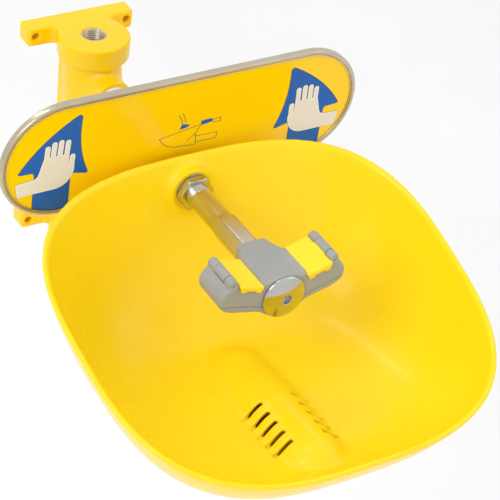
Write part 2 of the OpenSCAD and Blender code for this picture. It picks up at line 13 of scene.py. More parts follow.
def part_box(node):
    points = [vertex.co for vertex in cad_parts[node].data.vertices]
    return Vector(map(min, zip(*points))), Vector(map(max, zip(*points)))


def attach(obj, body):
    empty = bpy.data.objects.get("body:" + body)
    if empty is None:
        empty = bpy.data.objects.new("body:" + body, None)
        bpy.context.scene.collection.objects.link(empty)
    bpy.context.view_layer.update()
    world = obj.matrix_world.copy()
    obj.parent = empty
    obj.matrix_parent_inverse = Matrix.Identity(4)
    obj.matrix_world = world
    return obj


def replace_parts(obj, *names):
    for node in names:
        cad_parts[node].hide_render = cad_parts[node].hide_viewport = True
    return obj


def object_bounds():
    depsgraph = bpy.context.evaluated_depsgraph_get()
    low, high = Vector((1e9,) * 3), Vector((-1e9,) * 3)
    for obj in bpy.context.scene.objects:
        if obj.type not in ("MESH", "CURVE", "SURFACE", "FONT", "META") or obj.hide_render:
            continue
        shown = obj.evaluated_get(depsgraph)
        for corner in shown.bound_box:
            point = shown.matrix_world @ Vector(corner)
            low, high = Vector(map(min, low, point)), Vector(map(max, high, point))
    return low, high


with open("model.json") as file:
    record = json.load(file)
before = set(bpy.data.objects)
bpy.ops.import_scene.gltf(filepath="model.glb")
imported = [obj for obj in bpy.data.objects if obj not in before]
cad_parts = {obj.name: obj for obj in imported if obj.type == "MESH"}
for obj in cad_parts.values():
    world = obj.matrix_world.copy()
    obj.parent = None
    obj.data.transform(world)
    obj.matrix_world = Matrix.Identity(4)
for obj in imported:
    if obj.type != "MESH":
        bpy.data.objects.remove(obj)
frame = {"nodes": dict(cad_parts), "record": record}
cad_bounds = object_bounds()

# Shapes are fields in millimetres: negative inside, positive outside, zero on the surface.
MM = 0.001
# Half width of the band round a surface in which its field is kept, in sampling steps.
BAND_STEPS = 3


# ---------------------------------------------------------------- places, from the CAD model

def cad_box(node):
    """Lowest and highest corner of a CAD node, in millimetres."""
    low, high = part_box(node)
    return np.array(low) / MM, np.array(high) / MM


def cad_middle(node):
    low, high = cad_box(node)
    return (low + high) / 2


BRACKET_LOW, BRACKET_HIGH = cad_box("wall_bracket")
BOWL_LOW, BOWL_HIGH = cad_box("bowl")
ARM_LOW, ARM_HIGH = cad_box("spray_arm")
CAP_LOW, CAP_HIGH = cad_box("head_cap")
LINE_Z = cad_middle("spray_arm")[2]
SEAL_Y = cad_box("inlet_seal")[1][1]
HINGE_X = cad_middle("right_hinge_pin")[0]
HINGE_Z = cad_middle("right_hinge_pin")[2]
CAP_Z = cad_middle("head_cap")[2]
WALL_OUT_Y = cad_box("bowl_gasket")[0][1]
WALL_IN_Y = cad_box("bowl_washer")[1][1]
PORT_MOUNT = next(m for m in frame["record"]["mounts"] if m["name"] == "supply_inlet")
PORT_Y = PORT_MOUNT["pos_m"][1] / MM
PORT_R = PORT_MOUNT["dims"]["r_mm"]


# ---------------------------------------------------------------- shape helpers

def smooth_min(a, b, r):
    """Union of two fields with a fillet of about r."""
    h = np.maximum(r - np.abs(a - b), 0) / r
    return np.minimum(a, b) - h * h * r / 4


def smooth_max(a, b, r):
    """Intersection of two fields with a rounding of about r."""
    return -smooth_min(-a, -b, r)


def rounded_rect(x, y, half_x, half_y, r):
    """Field of a rectangle with corner radius r."""
    qx = np.abs(x) - half_x + r
    qy = np.abs(y) - half_y + r
    return np.hypot(np.maximum(qx, 0), np.maximum(qy, 0)) + np.minimum(np.maximum(qx, qy), 0) - r


def slab(flat, z, low, high, r):
    """The flat field stretched from low to high along z, with its edges rounded by r."""
    across = flat + r
    along = np.abs(z - (low + high) / 2) - (high - low) / 2 + r
    return (np.hypot(np.maximum(across, 0), np.maximum(along, 0))
            + np.minimum(np.maximum(across, along), 0) - r)


def polygon(x, y, points):
    """Field of a closed polygon."""
    best = np.full(np.broadcast(x, y).shape, np.inf, np.float32)
    sign = np.ones_like(best)
    for (ax, ay), (bx, by) in zip(points, points[-1:] + points[:-1]):
        ex, ey = bx - ax, by - ay
        wx, wy = x - ax, y - ay
        t = np.clip((wx * ex + wy * ey) / (ex * ex + ey * ey), 0, 1)
        best = np.minimum(best, (wx - ex * t) ** 2 + (wy - ey * t) ** 2)
        rising = (y >= ay) & (y < by) & (ex * wy > ey * wx)
        falling = (y < ay) & (y >= by) & (ex * wy < ey * wx)
        sign = np.where(rising | falling, -sign, sign)
    return sign * np.sqrt(best)


def curve(start, pull, end, count=12):
    """Points on a smooth bend from start to end, drawn towards the pull point."""
    start, pull, end = np.array(start), np.array(pull), np.array(end)
    return [tuple((1 - t) ** 2 * start + 2 * t * (1 - t) * pull + t ** 2 * end)
            for t in np.linspace(0, 1, count)]


def hexagon(x, z, across_flats):
    """Field of a hexagon with a flat on top."""
    x, z = np.abs(x), np.abs(z)
    return np.maximum(z, z * 0.5 + x * math.sqrt(0.75)) - across_flats / 2


def segment(x, y, a, b, r):
    """Field of a round-ended bar from a to b in a plane."""
    ex, ey = b[0] - a[0], b[1] - a[1]
    t = np.clip(((x - a[0]) * ex + (y - a[1]) * ey) / (ex * ex + ey * ey + 1e-9), 0, 1)
    return np.hypot(x - a[0] - ex * t, y - a[1] - ey * t) - r


def surface(name, field, low, high, step, material, body="station", replaces=(), place=None):
    """A closed mesh where the field is 0, sampled every step from low to high, riding on a body."""
    steps = np.broadcast_to(np.asarray(step, float), 3)
    axes = [np.arange(a, b, s, dtype=np.float32) for a, b, s in zip(low, high, steps)]
    values = field(axes[0][:, None, None], axes[1][None, :, None], axes[2][None, None, :])
    band = BAND_STEPS * float(steps.max())
    grid = openvdb.FloatGrid(band)
    grid.copyFromArray(np.ascontiguousarray(np.clip(values, -band, band), dtype=np.float32))
    points, quads = grid.convertToQuads()
    points = (points * steps + np.asarray(low, float)) * MM
    mesh = bpy.data.meshes.new(name)
    mesh.vertices.add(len(points))
    mesh.vertices.foreach_set("co", points.astype(np.float32).ravel())
    mesh.loops.add(quads.size)
    mesh.polygons.add(len(quads))
    mesh.loops.foreach_set("vertex_index", quads[:, ::-1].astype(np.int32).ravel())
    mesh.polygons.foreach_set("loop_start", np.arange(0, quads.size, 4, dtype=np.int32))
    mesh.update(calc_edges=True)
    mesh.validate()
    mesh.shade_smooth()
    if place is not None:
        mesh.transform(place)
    return add_piece(name, mesh, material, body, replaces)


def add_piece(name, mesh, material, body, replaces=()):
    piece = bpy.data.objects.new(name, mesh)
    bpy.context.scene.collection.objects.link(piece)
    mesh.materials.append(material)
    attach(piece, body)
    if replaces:
        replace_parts(piece, *replaces)
    return piece


# ---------------------------------------------------------------- materials

def new_material(name):
    """A material with its shader and an object-space coordinate."""
    material = bpy.data.materials.new(name)
    material.use_nodes = True
    nodes = material.node_tree.nodes
    shader = nodes["Principled BSDF"]
    where = nodes.new("ShaderNodeTexCoord")
    return material, nodes, material.node_tree.links, shader, where.outputs["Object"]


def noise(nodes, links, vector, scale, detail=3.0, roughness=0.5):
    texture = nodes.new("ShaderNodeTexNoise")
    texture.inputs["Scale"].default_value = scale
    texture.inputs["Detail"].default_value = detail
    texture.inputs["Roughness"].default_value = roughness
    links.new(vector, texture.inputs["Vector"])
    return texture.outputs["Fac"]


def spread(nodes, links, value, low, high):
    """The value, from 0.3 to 0.7, spread from low to high."""
    node = nodes.new("ShaderNodeMapRange")
    node.inputs["From Min"].default_value = 0.3
    node.inputs["From Max"].default_value = 0.7
    node.inputs["To Min"].default_value = low
    node.inputs["To Max"].default_value = high
    links.new(value, node.inputs["Value"])
    return node.outputs["Result"]


def two_tone(nodes, links, value, first, second):
    """Colour from first to second as the value goes from 0.3 to 0.7."""
    ramp = nodes.new("ShaderNodeValToRGB")
    ramp.color_ramp.elements[0].position = 0.3
    ramp.color_ramp.elements[0].color = (*first, 1)
    ramp.color_ramp.elements[1].position = 0.7
    ramp.color_ramp.elements[1].color = (*second, 1)
    links.new(value, ramp.inputs["Fac"])
    return ramp.outputs["Color"]


def bumps(nodes, links, shader, layers):
    """Stacks (height, strength, distance) bumps on the shader's normal."""
    normal = None
    for height, strength, distance in layers:
        bump = nodes.new("ShaderNodeBump")
        bump.inputs["Strength"].default_value = strength
        bump.inputs["Distance"].default_value = distance
        links.new(height, bump.inputs["Height"])
        if normal is not None:
            links.new(normal, bump.inputs["Normal"])
        normal = bump.outputs["Normal"]
    links.new(normal, shader.inputs["Normal"])


def gloss_material(name, first, second, rough, peel_scale, peel, coat=0.0, scatter=0.0):
    """Smooth plastic or paint: soft tone changes, orange peel and faint wear in the gloss."""
    material, nodes, links, shader, at = new_material(name)
    cloud = noise(nodes, links, at, 9.0, 4.0)
    links.new(two_tone(nodes, links, cloud, first, second), shader.inputs["Base Color"])
    wear = noise(nodes, links, at, 60.0, 6.0, 0.65)
    links.new(spread(nodes, links, wear, rough[0], rough[1]), shader.inputs["Roughness"])
    shader.inputs["Coat Weight"].default_value = coat
    shader.inputs["Coat Roughness"].default_value = 0.08
    shader.inputs["Specular IOR Level"].default_value = 0.3
    shader.inputs["Subsurface Weight"].default_value = scatter
    shader.inputs["Subsurface Radius"].default_value = (0.004, 0.0025, 0.0005)
    orange_peel = noise(nodes, links, at, peel_scale, 2.0)
    grit = noise(nodes, links, at, peel_scale * 7, 3.0)
    bumps(nodes, links, shader, [(orange_peel, peel, 0.0004), (grit, peel * 0.4, 0.00008)])
    return material


def metal_material(name, first, second, rough, stretch=(1, 1, 1), scale=180.0, depth=0.08):
    """Metal with smudges, and drawn or brushed lines along the axis that stretch keeps small."""
    material, nodes, links, shader, at = new_material(name)
    shader.inputs["Metallic"].default_value = 1.0
    mapping = nodes.new("ShaderNodeMapping")
    mapping.inputs["Scale"].default_value = stretch
    links.new(at, mapping.inputs["Vector"])
    smudge = noise(nodes, links, at, 30.0, 5.0, 0.6)
    links.new(two_tone(nodes, links, smudge, first, second), shader.inputs["Base Color"])
    lines = noise(nodes, links, mapping.outputs["Vector"], scale, 4.0, 0.6)
    links.new(spread(nodes, links, lines, rough[0], rough[1]), shader.inputs["Roughness"])
    bumps(nodes, links, shader, [(lines, depth, 0.00008)])
    return material


def grained_material(name, first, second, rough, grain_scale, grain):
    """Matt moulded plastic or rubber with a fine spark-eroded grain."""
    material, nodes, links, shader, at = new_material(name)
    cloud = noise(nodes, links, at, 25.0, 4.0)
    links.new(two_tone(nodes, links, cloud, first, second), shader.inputs["Base Color"])
    cells = nodes.new("ShaderNodeTexVoronoi")
    cells.inputs["Scale"].default_value = grain_scale
    links.new(at, cells.inputs["Vector"])
    fine = noise(nodes, links, at, grain_scale * 1.7, 4.0, 0.7)
    links.new(spread(nodes, links, fine, rough[0], rough[1]), shader.inputs["Roughness"])
    pits = cells.outputs["Distance"]
    bumps(nodes, links, shader, [(pits, grain, 0.0002), (fine, grain, 0.00015)])
    return material


# Shader, its two colours and roughness range, then its other settings. The first twelve are the CAD
# model's material slots.
LOOKS = {
    "cast_yellow": (gloss_material, (0.93, 0.58, 0.0), (0.98, 0.63, 0.0), (0.22, 0.34),
                    {"peel_scale": 420, "peel": 0.16, "coat": 0.1}),
    "bowl_yellow": (gloss_material, (0.96, 0.68, 0.006), (1.0, 0.74, 0.012), (0.22, 0.30),
                    {"peel_scale": 260, "peel": 0.04, "coat": 0.05, "scatter": 0.05}),
    "cover_yellow": (gloss_material, (0.96, 0.66, 0.01), (1.0, 0.72, 0.02), (0.30, 0.42),
                     {"peel_scale": 700, "peel": 0.12}),
    "label_print": (gloss_material, (0.97, 0.61, 0.0), (1.0, 0.65, 0.0), (0.12, 0.20),
                    {"peel_scale": 160, "peel": 0.03, "coat": 0.1}),
    "head_grey": (grained_material, (0.30, 0.31, 0.30), (0.34, 0.35, 0.34), (0.38, 0.52),
                  {"grain_scale": 1800, "grain": 0.10}),
    "chrome": (metal_material, (0.50, 0.48, 0.45), (0.57, 0.56, 0.52), (0.06, 0.14),
               {"stretch": (1, 0.08, 1), "scale": 300, "depth": 0.02}),
    "plated_pipe": (metal_material, (0.66, 0.66, 0.65), (0.74, 0.73, 0.72), (0.16, 0.28),
                    {"stretch": (1, 0.1, 1)}),
    "steel": (metal_material, (0.52, 0.45, 0.34), (0.60, 0.53, 0.42), (0.20, 0.36),
              {"stretch": (0.06, 1, 1), "scale": 260, "depth": 0.06}),
    "valve_brass": (metal_material, (0.62, 0.59, 0.52), (0.70, 0.67, 0.60), (0.20, 0.34), {}),
    "panel_plate": (metal_material, (0.66, 0.66, 0.66), (0.74, 0.74, 0.74), (0.30, 0.45),
                    {"stretch": (0.04, 1, 1)}),
    "seal_white": (grained_material, (0.80, 0.80, 0.78), (0.86, 0.86, 0.84), (0.35, 0.48),
                   {"grain_scale": 1500, "grain": 0.05}),
    "rubber_black": (grained_material, (0.02, 0.02, 0.02), (0.035, 0.035, 0.035), (0.6, 0.8),
                     {"grain_scale": 1200, "grain": 0.2}),
    "arm_satin": (metal_material, (0.56, 0.54, 0.47), (0.64, 0.62, 0.55), (0.20, 0.28),
                  {"stretch": (1, 0.06, 1), "scale": 300, "depth": 0.01}),
    "print_blue": (gloss_material, (0.0, 0.09, 0.42), (0.005, 0.13, 0.50), (0.14, 0.22),
                   {"peel_scale": 160, "peel": 0.03}),
    "print_cream": (gloss_material, (0.76, 0.70, 0.58), (0.82, 0.77, 0.66), (0.14, 0.22),
                    {"peel_scale": 160, "peel": 0.03, "coat": 0.3}),
    "print_white": (gloss_material, (0.88, 0.88, 0.86), (0.92, 0.92, 0.90), (0.14, 0.22),
                    {"peel_scale": 160, "peel": 0.03, "coat": 0.3}),
    "print_dark": (gloss_material, (0.02, 0.05, 0.07), (0.04, 0.08, 0.10), (0.14, 0.22),
                   {"peel_scale": 160, "peel": 0.03, "coat": 0.3}),
}
MATERIALS = {name: make(name, first, second, rough, **settings)
             for name, (make, first, second, rough, settings) in LOOKS.items()}

for row in frame["record"]["subparts"]:
    cad_mesh = frame["nodes"][row["node"]].data
    cad_mesh.materials.clear()
    cad_mesh.materials.append(MATERIALS[row["material_slot"]])


# ---------------------------------------------------------------- bowl

# Rim: its depth along the slope, tilt, middle, superellipse power, and taper towards the front.
BOWL_D = 321.2
TILT = math.radians(15.5)
RIM_Y, RIM_Z = -370.0, 48.2
RIM_POWER, RIM_TAPER, RIM_ROUND = 2.9, 0.027, 4.0
# Dish: wall thickness, lowest inner height, and the powers of its plan and its depth.
BOWL_T = 5.0
FLOOR_Z, FLOOR_POWER, DISH_POWER = -50.0, 2.6, 5
# Search for a point's place between the middle (0) and the rim (1).
FIRST_GUESS, GUESS_LIMITS, GUESSES = 0.7, (0.01, 1.3), 7
# Hood over the drain: radius, wall, axis height and how flat its sunken back is. It rises from
# HOOD_BACK_Y to HOOD_FULL_Y, its inside ends at HOOD_FRONT_Y, and its dome starts at HOOD_END_Y.
HOOD_R, HOOD_T, HOOD_Z, HOOD_FLAT, HOOD_FILLET = 29.0, 3.5, -62.0, 0.72, 5.0
HOOD_BACK_Y, HOOD_FULL_Y, HOOD_FRONT_Y, HOOD_END_Y = -330.0, -389.0, -446.0, -450.0
# Slots across the hood, on both sides, from SLOT_IN outwards.
SLOT_COUNT, SLOT_PITCH, SLOT_T, SLOT_IN, SLOT_DEPTH = 5, 12.0, 3.8, 13.5, 3.0
# Pad under the bowl that the trough is screwed to, kept PAD_SINK below the inner surface.
PAD_X, PAD_Y, PAD_ROUND, PAD_Z = 38.5, (-456.0, -299.0), 11.0, -64.0
PAD_SINK, PAD_FILLET = 3.0, 2.5
# Thick place in the back wall, spotfaced on both sides for the nuts and bored for the arm.
BOSS_R, BOSS_OUT, BOSS_FILLET = 19.0, 5.0, 7.0
SPOTFACE_R, SPOTFACE_OUT, SPOTFACE_IN, SPOTFACE_ROUND = 17.5, 20.0, 21.0, 1.5
ARM_R, ARM_GAP = 10.3, 0.1


def rim_half_width():
    """Half width of the rim before it is stretched to the CAD width, per unit of half width."""
    a = np.linspace(0, math.pi / 2, 200)
    reach = (np.cos(a) ** RIM_POWER + np.sin(a) ** RIM_POWER) ** (-1 / RIM_POWER)
    return (reach * np.cos(a) * (1 + RIM_TAPER * reach * np.sin(a))).max()


def dish_height(x, y, inset):
    """Height of the dish at x, y, and how much its slope shortens distances.

    The dish is taken inset inside its outer surface. Each point's distance k from the middle
    depends on its own superellipse power, so k is found by repeating.
    """
    stretch = 1 / rim_half_width()
    half_w = ((BOWL_HIGH[0] - BOWL_LOW[0]) / 2 - inset) * stretch
    half_d = BOWL_D / 2 - inset
    along = (y - RIM_Y) / math.cos(TILT)
    k = np.full(np.broadcast(x, y).shape, FIRST_GUESS, np.float32)
    for _ in range(GUESSES):
        power = FLOOR_POWER + (RIM_POWER - FLOOR_POWER) * k
        v = along / k
        wide = half_w * (1 + RIM_TAPER * v * 2 / BOWL_D)
        k = ((np.abs(x) / wide) ** power + (np.abs(along) / half_d) ** power) ** (1 / power)
        k = np.clip(k, *GUESS_LIMITS)
    low = FLOOR_Z - BOWL_T + inset
    height = low + (RIM_Z + along / k * math.sin(TILT) - low) * k ** DISH_POWER
    run = (x[1, 0, 0] - x[0, 0, 0], y[0, 1, 0] - y[0, 0, 0])
    slope_x, slope_y = np.gradient(height[:, :, 0], *run)
    return height, (1 / np.sqrt(1 + slope_x ** 2 + slope_y ** 2))[:, :, None]


def hood(x, y, z, r):
    """Field of the half-round hood: it sinks into the floor towards the wall and ends in a dome."""
    rise = np.clip((HOOD_BACK_Y - y) / (HOOD_BACK_Y - HOOD_FULL_Y), 0, 1)
    flat = HOOD_FLAT + (1 - HOOD_FLAT) * rise
    past = np.maximum(y - HOOD_BACK_Y, 0) + np.maximum(HOOD_END_Y - y, 0)
    return (np.sqrt(x ** 2 + past ** 2 + ((z - HOOD_Z) / flat) ** 2) - r) * flat


def bowl_field(x, y, z):
    outer, outer_fall = dish_height(x, y, 0)
    inner, inner_fall = dish_height(x, y, BOWL_T)
    below = (outer - z) * outer_fall
    above = (z - inner) * inner_fall
    rim = (z - RIM_Z) * math.cos(TILT) - (y - RIM_Y) * math.sin(TILT)
    pad = rounded_rect(x, y - sum(PAD_Y) / 2, PAD_X, (PAD_Y[1] - PAD_Y[0]) / 2, PAD_ROUND)
    pad = np.maximum(pad, PAD_Z - z)
    ridge = hood(x, y, z, HOOD_R)
    shell = smooth_min(np.maximum(below, above), np.maximum(ridge, below), HOOD_FILLET)
    shell = smooth_min(shell, np.maximum(pad, above + PAD_SINK), PAD_FILLET)
    out = np.hypot(x, z - LINE_Z)
    boss = np.maximum(out - BOSS_R, np.maximum(WALL_IN_Y - y, y - WALL_OUT_Y - BOSS_OUT))
    shell = smooth_min(shell, boss, BOSS_FILLET)
    shell = smooth_max(shell, rim, RIM_ROUND)
    cavity = np.maximum(hood(x, y, z, HOOD_R - HOOD_T), HOOD_FRONT_Y - y)
    shell = smooth_max(shell, -cavity, 1.0)
    index = np.clip(np.round((HOOD_FULL_Y - y) / SLOT_PITCH), 0, SLOT_COUNT - 1)
    slots = np.abs(HOOD_FULL_Y - SLOT_PITCH * index - y) - SLOT_T / 2
    slots = np.maximum(slots, SLOT_IN - np.abs(x))
    slots = np.maximum(np.maximum(slots, FLOOR_Z - 1 - z), ridge - SLOT_DEPTH)
    shell = smooth_max(shell, -slots, 0.8)
    face = out - SPOTFACE_R
    face_out = np.maximum(face, np.maximum(WALL_OUT_Y - y, y - WALL_OUT_Y - SPOTFACE_OUT))
    face_in = np.maximum(face, np.maximum(y - WALL_IN_Y, WALL_IN_Y - SPOTFACE_IN - y))
    shell = smooth_max(shell, -face_out, SPOTFACE_ROUND)
    shell = smooth_max(shell, -face_in, SPOTFACE_ROUND)
    return np.maximum(shell, ARM_R + ARM_GAP - out)


surface("catch_bowl", bowl_field, BOWL_LOW - 3, BOWL_HIGH + 3, 1.25,
        MATERIALS["bowl_yellow"], replaces=["bowl"])


# ---------------------------------------------------------------- wall bracket

# Flange: a bar with an ear at each end, and a round collar about the port, on top and below.
EAR_T, EAR_H, EAR_REACH, EAR_ROUND = 19.0, 17.5, 15.0, 4.5
COLLAR_H, COLLAR_R, COLLAR_FILLET = 20.0, 32.0, 11.0
# Column and the web that joins it to the wall, their fillets, and the rounding of cast edges.
BODY_R, WEB_X, WEB_FILLET, FLANGE_FILLET, CAST_ROUND = 25.5, 12.0, 6.0, 4.0, 2.2
FRONT_BOSS_R, FRONT_BOSS_FILLET, SPIGOT_R, SPIGOT_FILLET = 17.5, 12.0, 19.0, 6.0
# Holes: bolts, supply and waste ports, and the supply line's bore in the front boss.
BOLT_X, BOLT_Z, BOLT_R = 44.45, 99.0, 3.4
PORT_DEPTH, PORT_GAP, WASTE_R = 20.0, 0.4, 20.6
LINE_BORE_R, LINE_BORE_Y, HOLE_ROUND = 10.7, -69.0, 1.6
DRAIN_HIGH = cad_box("drain_washers")[1]


def bracket_field(x, y, z):
    top = BRACKET_HIGH[2]
    half_x = BRACKET_HIGH[0]
    high = np.abs(z)
    from_port = np.hypot(x, y - PORT_Y)
    from_line = np.hypot(x, z - LINE_Z)
    collar_plan = from_port - COLLAR_R
    ears_plan = rounded_rect(x, y + EAR_T - EAR_REACH, half_x, EAR_REACH, EAR_ROUND)
    plan = smooth_min(ears_plan, collar_plan, COLLAR_FILLET)
    ears = slab(np.maximum(plan, y), high, top - EAR_H, top, CAST_ROUND)
    collar = slab(collar_plan, high, top - COLLAR_H, top, CAST_ROUND)
    flanges = np.minimum(ears, collar)
    body = np.maximum(from_port - BODY_R, high - top + EAR_H / 2)
    web = rounded_rect(x, y - PORT_Y / 2, WEB_X, -PORT_Y / 2, 1.0)
    web = np.maximum(web, high - top + EAR_H / 2)
    cast = smooth_min(smooth_min(body, web, WEB_FILLET), flanges, FLANGE_FILLET)
    boss = slab(from_line - FRONT_BOSS_R, y, SEAL_Y, PORT_Y, 1.2)
    cast = smooth_min(cast, boss, FRONT_BOSS_FILLET)
    spigot = np.hypot(x, z - DRAIN_HIGH[2] + SPIGOT_R) - SPIGOT_R
    spigot = np.maximum(np.maximum(spigot, DRAIN_HIGH[1] - 0.5 - y), y - PORT_Y)
    cast = smooth_min(cast, spigot, SPIGOT_FILLET)
    bolt = np.hypot(np.abs(x) - BOLT_X, high - BOLT_Z) - BOLT_R
    port = np.maximum(from_port - PORT_R - PORT_GAP, top - PORT_DEPTH - z)
    waste = np.maximum(from_port - WASTE_R, z + top - PORT_DEPTH)
    line = np.maximum(from_line - LINE_BORE_R, y - LINE_BORE_Y)
    for hole in (bolt, port, waste, line):
        cast = smooth_max(cast, -hole, HOLE_ROUND)
    return np.maximum(cast, y)


surface("bracket_casting", bracket_field, BRACKET_LOW - 2, BRACKET_HIGH + 2,
        0.9, MATERIALS["cast_yellow"],
        replaces=["wall_bracket"])

PORT_TOP = PORT_MOUNT["pos_m"][2] / MM
THREAD_PITCH, THREAD_DEPTH, THREAD_WALL = 2.1, 1.3, 1.5
# How far the sleeve's middle is below the port's mouth, and half its length.
SLEEVE_DROP, SLEEVE_HALF = PORT_DEPTH / 2 + 0.6, PORT_DEPTH / 2 - 0.6


def port_thread_field(x, y, z):
    """Sleeve inside the supply port whose bore is cut with a pipe thread."""
    across = np.hypot(x, y - PORT_Y)
    turn = np.arctan2(y - PORT_Y, x) / (2 * math.pi)
    tooth = np.abs(((z / THREAD_PITCH + turn) % 1.0) - 0.5) * 2
    bore = PORT_R - 0.2 - THREAD_DEPTH * tooth
    sleeve = np.maximum(across - PORT_R - THREAD_WALL, bore - across)
    return np.maximum(sleeve, np.abs(z - PORT_TOP + SLEEVE_DROP) - SLEEVE_HALF)


port_low = np.array([-PORT_R - 3, PORT_Y - PORT_R - 3, PORT_TOP - PORT_DEPTH - 1])
port_high = np.array([PORT_R + 3, PORT_Y + PORT_R + 3, PORT_TOP + 1])
surface("supply_port_thread", port_thread_field, port_low, port_high, 0.3, MATERIALS["steel"])


# ---------------------------------------------------------------- spray arm and its nuts

# The arm: a threaded end, a round tube, a hexagonal bar and a stub inside the head.
HEX_AF, HEX_CORNER_R, HEX_BACK_Y, HEX_FRONT_Y = 22.0, 12.6, -287.0, -325.0
ARM_PITCH, ARM_TOOTH, ARM_RUNOUT, THREAD_FRONT_Y = 1.8, 0.75, 1.5, WALL_IN_Y - 17.0
CONE_SLOPE, STUB_R, ARM_BORE_R = 0.5, 9.5, 7.5
# The threads make the field steeper than distance, and scaling it evens that out.
ARM_SCALE, CONE_SCALE = 0.8, 0.87


def arm_field(x, y, z):
    across = np.hypot(x, z - LINE_Z)
    turn = np.arctan2(z - LINE_Z, x) / (2 * math.pi)
    tooth = np.abs(((y / ARM_PITCH + turn) % 1.0) - 0.5) * 2
    threaded = np.clip((y - THREAD_FRONT_Y) / ARM_RUNOUT, 0, 1)
    tube = across - ARM_R + ARM_TOOTH * tooth * threaded
    tube = np.maximum(tube, HEX_BACK_Y + 3 - y)
    flats = smooth_max(hexagon(x, z - LINE_Z, HEX_AF), across - HEX_CORNER_R, 0.8)
    cone = (across - ARM_R - (HEX_BACK_Y + 5 - y) * CONE_SLOPE) * CONE_SCALE
    bar = smooth_max(smooth_max(flats, cone, 1.5), HEX_FRONT_Y - y, 0.5)
    bar = np.maximum(bar, y - HEX_BACK_Y - 6)
    stub = np.maximum(across - STUB_R, ARM_LOW[1] - y)
    stub = np.maximum(stub, y - HEX_FRONT_Y - 2)
    whole = np.minimum(np.minimum(tube, bar), stub)
    return np.maximum(np.maximum(whole, y - ARM_HIGH[1]), ARM_BORE_R - across) * ARM_SCALE


surface("arm_bar", arm_field, ARM_LOW - 2, ARM_HIGH + 2, 0.42,
        MATERIALS["arm_satin"], replaces=["spray_arm"])

NUTS_LOW, NUTS_HIGH = cad_box("lock_nuts")
NUT_AF, NUT_T, NUT_BORE_R = 28.0, 7.0, 10.0
# Direction, across and along the arm, of the chamfer between a nut's corners and its washer face.
CHAMFER = (0.5, 0.866)


def nut_field(x, y, z):
    """Both lock nuts, chamfered to a washer face at each end."""
    across = np.hypot(x, z - LINE_Z)
    reach = NUT_AF / 2 * CHAMFER[0] + NUT_T / 2 * CHAMFER[1]
    nuts = []
    for middle in (NUTS_LOW[1] + NUT_T / 2, NUTS_HIGH[1] - NUT_T / 2):
        off = np.abs(y - middle)
        nut = smooth_max(hexagon(x, z - LINE_Z, NUT_AF), off - NUT_T / 2, 0.5)
        nuts.append(smooth_max(nut, across * CHAMFER[0] + off * CHAMFER[1] - reach - 0.1, 0.4))
    return np.maximum(np.minimum(*nuts), NUT_BORE_R - across)


surface("arm_lock_nuts", nut_field, NUTS_LOW - 2, NUTS_HIGH + 2, 0.4, MATERIALS["chrome"],
        replaces=["lock_nuts"])


# ---------------------------------------------------------------- spray head

COVER_IN, COVER_OUT, COVER_T, SEAT_Z = 19.8, 40.9, 3.1, 72.8
COVER_SLOPE = math.tan(math.radians(16))
HEAD_BACK_Y, HEAD_FRONT_Y, HEAD_TOP_Z = -342.0, -378.5, 76.5
# Half outline of the head seen from the front, HEAD_ROUND inside its rounded surface.
HEAD_ROUND = 2.5
HEAD_OUTLINE = [(-5, 44.8), (0, 46.1), *curve((38, 55.5), (53.5, 58.5), (54.0, 66)),
                *curve((54.0, 68), (53, 74), (47.2, 77.0)),
                (43.5, 79.0), (37.5, 78.7), (17.5, 74.0), (-5, 74.0)]
# Neck: half its width and its lower side at the bar, how much lower it is at the head, and how
# far it runs into the head.
NECK_X, NECK_Z, NECK_DROP, NECK_IN = 13.4, 50.0, 2.0, 14.0
HUB_Y, HUB_R, HUB_SLOPE, HUB_LENGTH, HUB_FILLET = CAP_HIGH[1] - 11, 19.0, 0.22, 25.0, 7.0
# Parting line of body and base: its distance below the cap's axis, its slope and half its gap.
PARTING_DROP, PARTING_SLOPE, PARTING_GAP = 10.0, 11 / 43, 0.15
NOZZLE_X, NOZZLE_Y, NOZZLE_R, NOZZLE_FLOOR_Z = 31.0, -360.0, 11.0, 66.0
BARREL_R, KNUCKLE_Y, KNUCKLE_GAP, PIN_R = 4.2, (-369.0, -353.0), 0.2, 1.5
SCREW_X, SCREW_Y, SCREW_R, SCREW_Z = 26.0, 12.0, 3.3, 53.0
ARM_END_Y = -337.0


def parting_z(x):
    """Height of the line between the head's body and base."""
    return CAP_Z - PARTING_DROP + np.abs(x) * PARTING_SLOPE


def head_whole(x, y, z):
    """Body and base as one shape: two rising arms, the neck to the arm's bar, and the cap's hub."""
    arms = slab(polygon(x, z, HEAD_OUTLINE) - HEAD_ROUND, y, HEAD_FRONT_Y, HEAD_BACK_Y, 3.0)
    from_hinge = np.hypot(x - HINGE_X, z - HINGE_Z)
    barrel = slab(from_hinge - BARREL_R, y, HEAD_FRONT_Y + 1, HEAD_BACK_Y, 2.0)
    arms = smooth_min(arms, barrel, 2.5)
    taper = np.clip((HEX_FRONT_Y - y) / (HEX_FRONT_Y - HEAD_BACK_Y), 0, 1)
    neck_half = NECK_X + (COVER_IN - NECK_X) * taper ** 1.5
    neck_low = NECK_Z - NECK_DROP * taper
    neck_z = (HEAD_TOP_Z + neck_low) / 2
    neck = rounded_rect(x, z - neck_z, neck_half, HEAD_TOP_Z - neck_z, 4.0)
    neck = smooth_max(neck, np.maximum(y - HEX_FRONT_Y, HEAD_BACK_Y - NECK_IN - y), 2.0)
    hub = np.hypot(x, z - CAP_Z) - HUB_R + HUB_SLOPE * np.maximum(y - HEAD_FRONT_Y, 0)
    hub = smooth_max(hub, np.maximum(HUB_Y - y, y - HEAD_FRONT_Y - HUB_LENGTH), 1.5)
    body = np.minimum(arms, neck)
    return np.maximum(smooth_min(body, hub, HUB_FILLET), HUB_Y - y)


